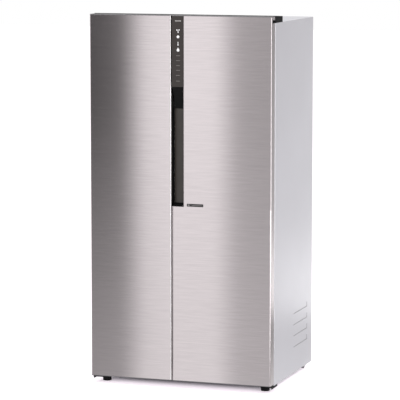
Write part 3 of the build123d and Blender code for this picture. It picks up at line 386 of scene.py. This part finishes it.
def relief(mat, pattern, strength, height):
    """Fine surface relief from a pattern, height metres deep."""
    bump = mat.node_tree.nodes.new("ShaderNodeBump")
    feed(mat, bump.inputs["Strength"], strength)
    feed(mat, bump.inputs["Distance"], height)
    feed(mat, bump.inputs["Height"], pattern)
    feed(mat, socket_of(mat, "Normal"), bump.outputs["Normal"])


def lay_over(mat, factor, colour):
    """Lays a colour over the tinted base colour, as far as factor says."""
    base = socket_of(mat, "Base Color")
    feed(mat, base, mixed(mat, factor, base.links[0].from_socket, (*colour, 1.0)))


def paint_groove_shade(mat, colour):
    """Paints shade into the paint's colour where the surface around it shuts out light, as in the pressed
    lines.
    """
    hollow = mat.node_tree.nodes.new("ShaderNodeAmbientOcclusion")
    hollow.only_local = True
    feed(mat, hollow.inputs["Distance"], GROOVE_REACH)
    closed = rescale(mat, hollow.outputs["AO"], *GROOVE_OPENNESS, 1.0, 0.0)
    lay_over(mat, closed, shade(colour, GROOVE_SHADE))


def paint_rim_highlight(mat, edge_x):
    """Paints a highlight: lightens the metal's colour in a narrow upright band, along a rounded rim that
    ends at edge_x.
    """
    x, _, _ = coordinates(mat)
    band = calculate(mat, "COMPARE", x, edge_x - RIM_HALF, RIM_HALF + RIM_MARGIN)
    lay_over(mat, band, RIM_HIGHLIGHT_TONE)


# ---- Finishes
def brushed_steel():
    """Stainless steel brushed along the horizontal: fine streaks, highlights drawn out upright, and a
    highlight painted along the freezer door's rim.
    """
    base = (0.676, 0.620, 0.634)
    brushed = {"Anisotropic": 0.7, "Anisotropic Rotation": 0.25}
    mat = shader("door_steel_look", base, roughness=0.23, metallic=1.0, extra=brushed)
    tangent = mat.node_tree.nodes.new("ShaderNodeTangent")
    tangent.direction_type = "RADIAL"
    tangent.axis = "Z"
    feed(mat, socket_of(mat, "Tangent"), tangent.outputs["Tangent"])
    streaks = noise(mat, scale=15.0, stretch=(0.6, 0.6, 14.0), detail=6.0)
    tint(mat, streaks, dark=shade(base, 0.963), light=shade(base, 1.037))
    brushing = noise(mat, scale=9.0, stretch=(0.4, 0.4, 90.0), detail=3.0)
    vary(mat, brushing, "Roughness", low=0.21, high=0.25)
    scratches = noise(mat, scale=12.0, stretch=(0.6, 0.6, 110.0), detail=3.0)
    relief(mat, scratches, strength=0.05, height=0.00003)
    # Painted highlight along the freezer door's rounded right rim.
    paint_rim_highlight(mat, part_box("freezer_door_skin")[1].x)
    return mat


def painted_steel(name, colour, metallic=0.35, coat=0.12, shine=0.5):
    """Metallic case paint: a faint orange peel under a thin clear coat, with a slight drift of tone."""
    gloss = {"Coat Weight": coat, "Coat Roughness": 0.3, "Specular IOR Level": shine}
    mat = shader(name, colour, roughness=0.42, metallic=metallic, extra=gloss)
    tint(mat, noise(mat, scale=2.2, detail=3.0), dark=shade(colour, 0.975), light=shade(colour, 1.02))
    vary(mat, noise(mat, scale=900.0), "Roughness", low=0.38, high=0.46)
    relief(mat, noise(mat, scale=420.0, detail=1.0), strength=0.08, height=0.00008)
    return mat


def galvanised(name, colour):
    """Bare zinc-coated sheet with a soft spangle."""
    mat = shader(name, colour, roughness=0.42, metallic=0.9)
    tint(mat, cells(mat, scale=150.0), dark=shade(colour, 0.95), light=shade(colour, 1.04))
    vary(mat, noise(mat, scale=60.0), "Roughness", low=0.36, high=0.50)
    return mat


def moulded(name, colour, roughness, grain=1400.0, depth=0.00006, shine=0.5, drift=0.05):
    """A moulded plastic or rubber: fine grain, and a faint change of tone and gloss over the piece."""
    mat = shader(name, colour, roughness, extra={"Specular IOR Level": shine})
    tone = noise(mat, scale=14.0, detail=3.0)
    tint(mat, tone, dark=shade(colour, 1.0 - drift), light=shade(colour, 1.0 + drift))
    gloss = noise(mat, scale=35.0, detail=4.0)
    vary(mat, gloss, "Roughness", low=roughness * 0.88, high=min(1.0, roughness * 1.12))
    relief(mat, noise(mat, scale=grain, detail=2.0), strength=0.25, height=depth)
    return mat


def printed(name, colour, roughness=0.5):
    """Printing ink, with hardly any grain."""
    return moulded(name, colour, roughness, grain=2600.0, depth=0.00001)


def glossy_panel(name, colour, roughness):
    """A smooth dark panel under a clear coat, with a barely visible film of fingerprints."""
    mat = shader(name, colour, roughness, extra={"Coat Weight": 0.1, "Coat Roughness": 0.06})
    tint(mat, noise(mat, scale=8.0, detail=2.0), dark=shade(colour, 0.93), light=shade(colour, 1.07))
    film = noise(mat, scale=22.0, detail=5.0)
    vary(mat, film, "Roughness", low=roughness * 0.8, high=roughness * 1.3)
    return mat


def toughened_glass():
    """Clear shelf glass with the green of its iron."""
    clear = {"Transmission Weight": 1.0, "IOR": 1.5}
    mat = shader("shelf_glass_look", (0.86, 0.95, 0.91), roughness=0.03, extra=clear)
    vary(mat, noise(mat, scale=18.0, detail=5.0), "Roughness", low=0.015, high=0.07)
    return mat


def crystal_plastic():
    """Clear styrene of the drawers and bins, slightly milky and softly rippled."""
    clear = {"Transmission Weight": 0.82, "IOR": 1.3}
    mat = shader("clear_plastic_look", (0.93, 0.96, 0.98), roughness=0.12, extra=clear)
    vary(mat, noise(mat, scale=25.0, detail=3.0), "Roughness", low=0.08, high=0.2)
    relief(mat, noise(mat, scale=16.0, detail=1.0), strength=0.1, height=0.0004)
    return mat


def lamp_lens():
    """A frosted lamp lens that glows."""
    light = {
        "Transmission Weight": 0.3,
        "Emission Color": (1.0, 0.97, 0.92, 1.0),
        "Emission Strength": 1.6,
    }
    mat = shader("lamp_plastic_look", (0.9, 0.92, 0.95), roughness=0.5, extra=light)
    ribs = noise(mat, scale=1.0, stretch=(260.0, 6.0, 6.0), detail=0.0)
    relief(mat, ribs, strength=0.5, height=0.0004)
    return mat


def circuit_board():
    """Green solder mask with lighter tracks."""
    mat = shader("board_green_look", (0.02, 0.11, 0.05), roughness=0.35)
    tracks = cells(mat, scale=260.0, stretch=(1.0, 1.0, 0.4))
    tint(mat, tracks, dark=(0.012, 0.07, 0.03), light=(0.03, 0.16, 0.07))
    return mat


CASE_PAINT = painted_steel("case_paint_look", CASE_COLOUR)
# Painted shade: the case paint is darkened where its own surface shuts out light, in the pressed grooves.
paint_groove_shade(CASE_PAINT, CASE_COLOUR)

FINISHES = {
    "case_paint": CASE_PAINT,
    "plain_steel": galvanised("plain_steel_look", (0.44, 0.45, 0.46)),
    "door_steel": brushed_steel(),
    "liner_plastic": moulded(
        "liner_plastic_look", (0.80, 0.81, 0.81), 0.34, grain=900.0, depth=0.00004, drift=0.015
    ),
    "foam": moulded("foam_look", (0.72, 0.60, 0.36), 0.9, grain=240.0, depth=0.0006),
    "black_plastic": moulded("black_plastic_look", (0.008, 0.008, 0.0085), 0.55, shine=0.08),
    "cap_plastic": moulded("cap_plastic_look", (0.170, 0.165, 0.170), 0.6, shine=0.08),
    "seal_rubber": moulded("seal_rubber_look", (0.30, 0.30, 0.31), 0.6, grain=1800.0),
    "mount_rubber": moulded("mount_rubber_look", (0.016, 0.016, 0.016), 0.75, grain=900.0, depth=0.00012),
    "hinge_steel": moulded(
        "hinge_steel_look", (0.008, 0.008, 0.0085), 0.5, grain=420.0, depth=0.00008, shine=0.08
    ),
    "screw_steel": galvanised("screw_steel_look", (0.50, 0.50, 0.50)),
    "shelf_glass": toughened_glass(),
    "trim_plastic": moulded("trim_plastic_look", (0.86, 0.87, 0.87), 0.3, grain=900.0, depth=0.00003),
    "clear_plastic": crystal_plastic(),
    "lamp_plastic": lamp_lens(),
    "coil_aluminium": galvanised("coil_aluminium_look", (0.70, 0.71, 0.72)),
    "coil_paint": painted_steel("coil_paint_look", (0.018, 0.018, 0.018), metallic=0.0),
    "compressor_paint": painted_steel("compressor_paint_look", (0.014, 0.014, 0.015), metallic=0.0),
    "fan_plastic": moulded("fan_plastic_look", (0.06, 0.06, 0.065), 0.5),
    "display_gloss": glossy_panel("display_gloss_look", (0.017, 0.0105, 0.0085), 0.22),
    "pocket_gloss": glossy_panel("pocket_gloss_look", (0.032, 0.024, 0.0195), 0.34),
    "badge_gloss": glossy_panel("badge_gloss_look", (0.012, 0.010, 0.010), 0.32),
    "board_green": circuit_board(),
    "roller_nylon": moulded("roller_nylon_look", (0.025, 0.025, 0.025), 0.5, shine=0.2),
}
PRINT_WHITE = printed("print_white_look", (0.86, 0.87, 0.88))
PRINT_DIM = printed("print_dim_look", (0.42, 0.41, 0.40))
PRINT_GREY = printed("print_grey_look", (0.13, 0.12, 0.115))
BADGE_GREY = printed("badge_grey_look", (0.22, 0.21, 0.21), roughness=0.35)
TOP_PAINT = painted_steel("case_top_look", CASE_COLOUR, metallic=0.0, coat=0.0, shine=0.12)

# Nodes whose look isn't that of their material slot
NODE_FINISHES = {
    "top_panel": TOP_PAINT,
    "mullion_trim": CASE_PAINT,
    "bottom_panel": CASE_PAINT,
}


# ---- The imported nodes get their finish, and a fine rounding along their edges
def round_edges(obj, width):
    """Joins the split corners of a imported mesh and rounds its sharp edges."""
    obj.data.polygons.foreach_set("use_smooth", [True] * len(obj.data.polygons))
    weld = obj.modifiers.new("weld", "WELD")
    weld.merge_threshold = WELD_REACH
    flat = obj.modifiers.new("flat", "DECIMATE")
    flat.decimate_type = "DISSOLVE"
    flat.angle_limit = radians(FLAT_DEGREES)
    bevel = obj.modifiers.new("bevel", "BEVEL")
    bevel.width = width
    bevel.segments = ROUND_SEGMENTS
    bevel.limit_method = "ANGLE"
    bevel.angle_limit = radians(SHARP_DEGREES)
    obj.modifiers.new("normals", "WEIGHTED_NORMAL")


for name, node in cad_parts.items():
    slot_name = node.data.materials[0].name
    node.data.materials[0] = NODE_FINISHES.get(name, FINISHES[slot_name])
    if slot_name in EDGE_ROUND:
        round_edges(node, EDGE_ROUND[slot_name])


# ---- Mesh building
def finish_mesh(name, bm, material, body):
    """Turns a bmesh into a piece that rides on a body."""
    bmesh.ops.remove_doubles(bm, verts=bm.verts, dist=SAME_POINT)
    bmesh.ops.recalc_face_normals(bm, faces=bm.faces)
    mesh = bpy.data.meshes.new(name)
    bm.to_mesh(mesh)
    bm.free()
    mesh.materials.append(material)
    obj = bpy.data.objects.new(name, mesh)
    bpy.context.scene.collection.objects.link(obj)
    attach(obj, body)
    return obj


def rectangle(low, high):
    """The corners of a rectangle between two (x, z) corners, in order."""
    (x0, z0), (x1, z1) = low, high
    return ((x0, z0), (x1, z0), (x1, z1), (x0, z1))


def raise_outline(bm, outline, y0, y1):
    """A thin plate with an outline given as (x, z) points, between two depths."""
    back = [bm.verts.new((x, y0, z)) for x, z in outline]
    front = [bm.verts.new((x, y1, z)) for x, z in outline]
    bm.faces.new(front)
    bm.faces.new(back[::-1])
    for i in range(len(outline)):
        j = (i + 1) % len(outline)
        bm.faces.new((back[i], back[j], front[j], front[i]))


def bar(bm, x, z, size, y0, y1):
    """A bar of a width and a height around a middle point."""
    width, height = size
    low = (x - width / 2, z - height / 2)
    high = (x + width / 2, z + height / 2)
    raise_outline(bm, rectangle(low, high), y0, y1)


def polygon(bm, x, z, corners, y0, y1):
    """A flat shape whose corners are given as (distance from the middle, degrees)."""
    outline = []
    for reach, degrees in corners:
        turn = radians(degrees)
        outline.append((x + reach * cos(turn), z + reach * sin(turn)))
    raise_outline(bm, outline, y0, y1)


def regular(bm, x, z, reach, sides, y0, y1):
    """A flat shape with equal sides, which is a disc when it has many."""
    polygon(bm, x, z, [(reach, 360.0 * step / sides) for step in range(sides)], y0, y1)


# ---- Printed marks: plain shapes, no lettering
def fan(bm, z, half, y0, y1):
    """Swept blades around a middle point."""
    for step in range(BLADES):
        turn = BLADE_START + 360.0 * step / BLADES
        corners = [(half * share, degrees + turn) for share, degrees in BLADE_OUTLINE]
        polygon(bm, ICON_X, z, corners, y0, y1)


def gauge(bm, z, half, y0, y1):
    """An upright stem on a round bulb."""
    bar(bm, ICON_X, z + half * STEM_RISE, (STEM_WIDTH, half * STEM_SHARE), y0, y1)
    regular(bm, ICON_X, z - half * BULB_FALL, half * BULB_SHARE, DISC_SIDES, y0, y1)


def drop(bm, z, half, y0, y1):
    """A round drop with a point on top."""
    arc = 360.0 - 2 * DROP_SHOULDER
    corners = [(DROP_POINT, DROP_TOP)]
    for step in range(DROP_STEPS + 1):
        corners.append((DROP_R, DROP_TOP + DROP_SHOULDER + arc * step / DROP_STEPS))
    polygon(bm, ICON_X, z - half * DROP_FALL, corners, y0, y1)


def display_marks():
    """Four white symbols, a row of small blocks over them and a column of faint dashes below."""
    y0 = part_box("display_panel")[0].y
    y1 = y0 - PRINT_T
    half = ICON_SIZE / 2
    blocks = bmesh.new()
    for step in range(BLOCKS):
        x = ICON_X + (step - (BLOCKS - 1) / 2) * BLOCK_PITCH
        bar(blocks, x, BLOCK_Z, BLOCK_SIZE, y0, y1)
    finish_mesh("display_blocks", blocks, PRINT_DIM, "fridge_door")
    symbols = bmesh.new()
    fan(symbols, FAN_Z, half, y0, y1)
    regular(symbols, ICON_X, DIAMOND_Z, half * DIAMOND_SHARE, DIAMOND_SIDES, y0, y1)
    gauge(symbols, GAUGE_Z, half, y0, y1)
    drop(symbols, DROP_Z, half, y0, y1)
    finish_mesh("display_symbols", symbols, PRINT_WHITE, "fridge_door")
    dashes = bmesh.new()
    for z in DASH_Z:
        bar(dashes, ICON_X, z, DASH_SIZE, y0, y1)
    finish_mesh("display_dashes", dashes, PRINT_GREY, "fridge_door")


def badge_marks():
    """A plain disc and a thin line on the badge."""
    low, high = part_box("badge")
    line_x = (low.x + high.x) / 2 + BADGE_LINE_SHIFT
    z = (low.z + high.z) / 2
    y0 = low.y
    y1 = low.y - PRINT_T
    marks = bmesh.new()
    regular(marks, low.x + BADGE_DISC_IN, z, BADGE_DISC_R, DISC_SIDES, y0, y1)
    bar(marks, line_x, z, BADGE_LINE_SIZE, y0, y1)
    finish_mesh("badge_marks", marks, BADGE_GREY, "fridge_door")


display_marks()
badge_marks()


# ---- Door gaskets, and the beads and screws on the back of the case
def swept_frame(bm, low, high, y, profile):
    """A closed profile swept round a rectangle, with mitred corners.

    Each point of the profile is a distance in from the rectangle's rim and a height along Y.
    """
    loops = []
    for inset, height in profile:
        corners = rectangle((low.x + inset, low.z + inset), (high.x - inset, high.z - inset))
        loops.append([bm.verts.new((x, y + height, z)) for x, z in corners])
    for here, after in zip(loops, loops[1:] + loops[:1]):
        for i in range(len(here)):
            j = (i + 1) % len(here)
            bm.faces.new((here[i], here[j], after[j], after[i]))


def door_gasket(word):
    """One gasket in place of its plain CAD solid."""
    low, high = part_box(f"{word}_door_gasket")
    bm = bmesh.new()
    swept_frame(bm, low, high, low.y, GASKET_PROFILE)
    gasket = finish_mesh(f"{word}_gasket_bead", bm, FINISHES["seal_rubber"], f"{word}_door")
    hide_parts(f"{word}_door_gasket")


def rear_beads():
    """Two upright frames of beads side by side on the rear panel."""
    profile = []
    for step in range(BEAD_STEPS + 1):
        turn = radians(180.0 * step / BEAD_STEPS)
        profile.append((BEAD_HALF * (1.0 - cos(turn)), BEAD_T * sin(turn)))
    low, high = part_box("rear_panel")
    middle = (low.x + high.x) / 2
    bm = bmesh.new()
    for x0, x1 in ((low.x, middle), (middle, high.x)):
        corner_low = Vector((x0 + BEAD_MARGIN_X, high.y, low.z + BEAD_MARGIN_Z))
        corner_high = Vector((x1 - BEAD_MARGIN_X, high.y, high.z - BEAD_MARGIN_Z))
        swept_frame(bm, corner_low, corner_high, high.y, profile)
    beads = finish_mesh("rear_beads", bm, FINISHES["plain_steel"], "cabinet")


def rear_screws():
    """Screws along the rim of the machine room cover and down the two rear flanges of the case."""
    low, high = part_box("machine_room_cover")
    case_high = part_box("side_panel_right")[1]
    first_x = low.x + COVER_SCREW_END
    row = high.x - COVER_SCREW_END - first_x
    places = []
    for z in (low.z + COVER_SCREW_LOW, high.z - COVER_SCREW_HIGH):
        for step in range(COVER_SCREWS):
            places.append((first_x + row * step / (COVER_SCREWS - 1), high.y, z))
    for side in (-1, 1):
        for step in range(FLANGE_SCREWS):
            z = high.z + (case_high.z - high.z) * (step + 0.5) / FLANGE_SCREWS
            places.append((side * (case_high.x - FLANGE_SCREW_IN), case_high.y, z))
    bm = bmesh.new()
    for x, y, z in places:
        regular(bm, x, z, WASHER_R, WASHER_SIDES, y, y + WASHER_T)
        regular(bm, x, z, HEX_R, HEX_SIDES, y + WASHER_T, y + HEX_T)
    screws = finish_mesh("rear_screws", bm, FINISHES["screw_steel"], "cabinet")


for door in ("freezer", "fridge"):
    door_gasket(door)
rear_beads()
rear_screws()


# ---- Stage
def plane(name, corners, material):
    """A flat four-sided stage piece."""
    mesh = bpy.data.meshes.new(name)
    mesh.from_pydata(corners, [], [(0, 1, 2, 3)])
    mesh.materials.append(material)
    obj = bpy.data.objects.new(name, mesh)
    bpy.context.scene.collection.objects.link(obj)
    return obj


def lying(name, x_range, y_range, z, material):
    """A level stage piece."""
    (x0, x1), (y0, y1) = x_range, y_range
    return plane(name, [(x0, y0, z), (x1, y0, z), (x1, y1, z), (x0, y1, z)], material)


def upright(name, x_range, y, z_range, material):
    """A stage piece that stands along X."""
    (x0, x1), (z0, z1) = x_range, z_range
    return plane(name, [(x0, y, z0), (x1, y, z0), (x1, y, z1), (x0, y, z1)], material)


def unseen(card):
    """Leaves a stage card to reflections alone."""
    card.visible_camera = False
    card.visible_diffuse = False
    card.visible_shadow = False
    card.visible_transmission = False


def emitting_material(name):
    """A material of light alone, and its Emission node."""
    mat = bpy.data.materials.new(name)
    mat.use_nodes = True
    nodes = mat.node_tree.nodes
    nodes.remove(nodes["Principled BSDF"])
    glow = nodes.new("ShaderNodeEmission")
    feed(mat, nodes["Material Output"].inputs["Surface"], glow.outputs["Emission"])
    return mat, glow


def tone_card():
    """The tones before the doors, running along X, upright and then along the floor up to the doors."""
    mat, glow = emitting_material("card_tones")
    x, y, z = coordinates(mat)
    door_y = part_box("fridge_door_skin")[0].y
    place = calculate(mat, "ADD", x, rescale(mat, y, CARD_Y, door_y, -CARD_SHIFT_X, 0.0))
    tones = tone_ramp(mat, place, -CARD_HALF, CARD_HALF, CARD_TONES)
    low_share = rescale(mat, z, 0.0, CARD_LOW_Z, CARD_LOW_SHARE, 0.0)
    feed(mat, glow.inputs["Color"], mixed(mat, low_share, tones, (*grey(CARD_LOW_TONE), 1.0)))
    x_range = (CARD_SHIFT_X - CARD_HALF, CARD_SHIFT_X + CARD_HALF)
    unseen(upright("tone_card", x_range, CARD_Y, CARD_Z, mat))
    unseen(lying("tone_card_floor", x_range, (CARD_Y, door_y), CARD_Z[0], mat))


def side_card():
    """The grey surround of the case's side, standing behind it and lying beside it."""
    mat, glow = emitting_material("side_card_tone")
    x, _, z = coordinates(mat)
    dark_x = SIDE_CARD_EVEN_X + 1.0 / SIDE_CARD_FALL
    falling = rescale(mat, x, SIDE_CARD_EVEN_X, dark_x, 1.0, 0.0, clamp=False)
    feed(mat, glow.inputs["Color"], tone_ramp(mat, z, 0.0, CARD_Z[1], SIDE_CARD_TONES))
    feed(mat, glow.inputs["Strength"], calculate(mat, "MAXIMUM", falling, SIDE_CARD_LEAST))
    unseen(upright("side_card", SIDE_CARD_X, SIDE_CARD_Y[1], CARD_Z, mat))
    unseen(lying("side_card_floor", SIDE_CARD_X, SIDE_CARD_Y, CARD_Z[0], mat))


def stage_floor():
    """A plain white floor with a faint glow that is lifted just inside the object's rim and fades further
    in under it: a painted shadow.
    """
    mat = shader("floor_white", grey(FLOOR_GREY), roughness=0.8, extra={"Emission Color": FLOOR_TINT})
    drift = noise(mat, scale=1.5)
    tint(mat, drift, dark=grey(FLOOR_GREY - FLOOR_DRIFT), light=grey(FLOOR_GREY + FLOOR_DRIFT))
    half_x, half_y, _ = CAD_BOX[1]
    x, y, _ = coordinates(mat)
    from_side = calculate(mat, "SUBTRACT", half_x, calculate(mat, "ABSOLUTE", x))
    from_front = calculate(mat, "SUBTRACT", half_y, calculate(mat, "ABSOLUTE", y))
    hastened = calculate(mat, "MULTIPLY", from_side, SIDE_HASTE)
    inwards = calculate(mat, "MINIMUM", hastened, from_front)
    # Painted shadow: the floor's glow is set by how far in under the object a point lies.
    glow = tone_ramp(mat, inwards, FLOOR_GLOW_AND_PAINTED_SHADOW[0][0], FLOOR_GLOW_AND_PAINTED_SHADOW[-1][0], FLOOR_GLOW_AND_PAINTED_SHADOW)
    feed(mat, socket_of(mat, "Emission Strength"), glow)
    lying("floor", (-FLOOR_HALF, FLOOR_HALF), (-FLOOR_HALF, FLOOR_HALF), 0.0, mat)


def world_light():
    """An even white surround."""
    world = bpy.data.worlds.new("surround")
    world.use_nodes = True
    sky = world.node_tree.nodes["Background"]
    sky.inputs["Color"].default_value = (1.0, 1.0, 1.0, 1.0)
    sky.inputs["Strength"].default_value = WORLD_LIGHT
    bpy.context.scene.world = world


def area_light(name, place, turn, size, power):
    """A soft square light."""
    data = bpy.data.lights.new(name, "AREA")
    data.size = size
    data.energy = power
    lamp = bpy.data.objects.new(name, data)
    lamp.location = place
    lamp.rotation_euler = [radians(angle) for angle in turn]
    lamp.visible_camera = False
    bpy.context.scene.collection.objects.link(lamp)


def camera():
    """The camera, far before the doors and some way to their right."""
    data = bpy.data.cameras.new("camera")
    data.lens = CAMERA_LENS
    data.sensor_width = CAMERA_SENSOR
    data.clip_end = CAMERA_REACH
    eye = bpy.data.objects.new("camera", data)
    eye.location = CAMERA_PLACE
    eye.rotation_euler = (radians(90.0 - CAMERA_DOWN), 0.0, radians(CAMERA_YAW))
    bpy.context.scene.collection.objects.link(eye)
    bpy.context.scene.camera = eye


tone_card()
side_card()
stage_floor()
world_light()
for light in LIGHTS:
    area_light(*light)
camera()
bpy.context.scene.view_settings.view_transform = "Standard"
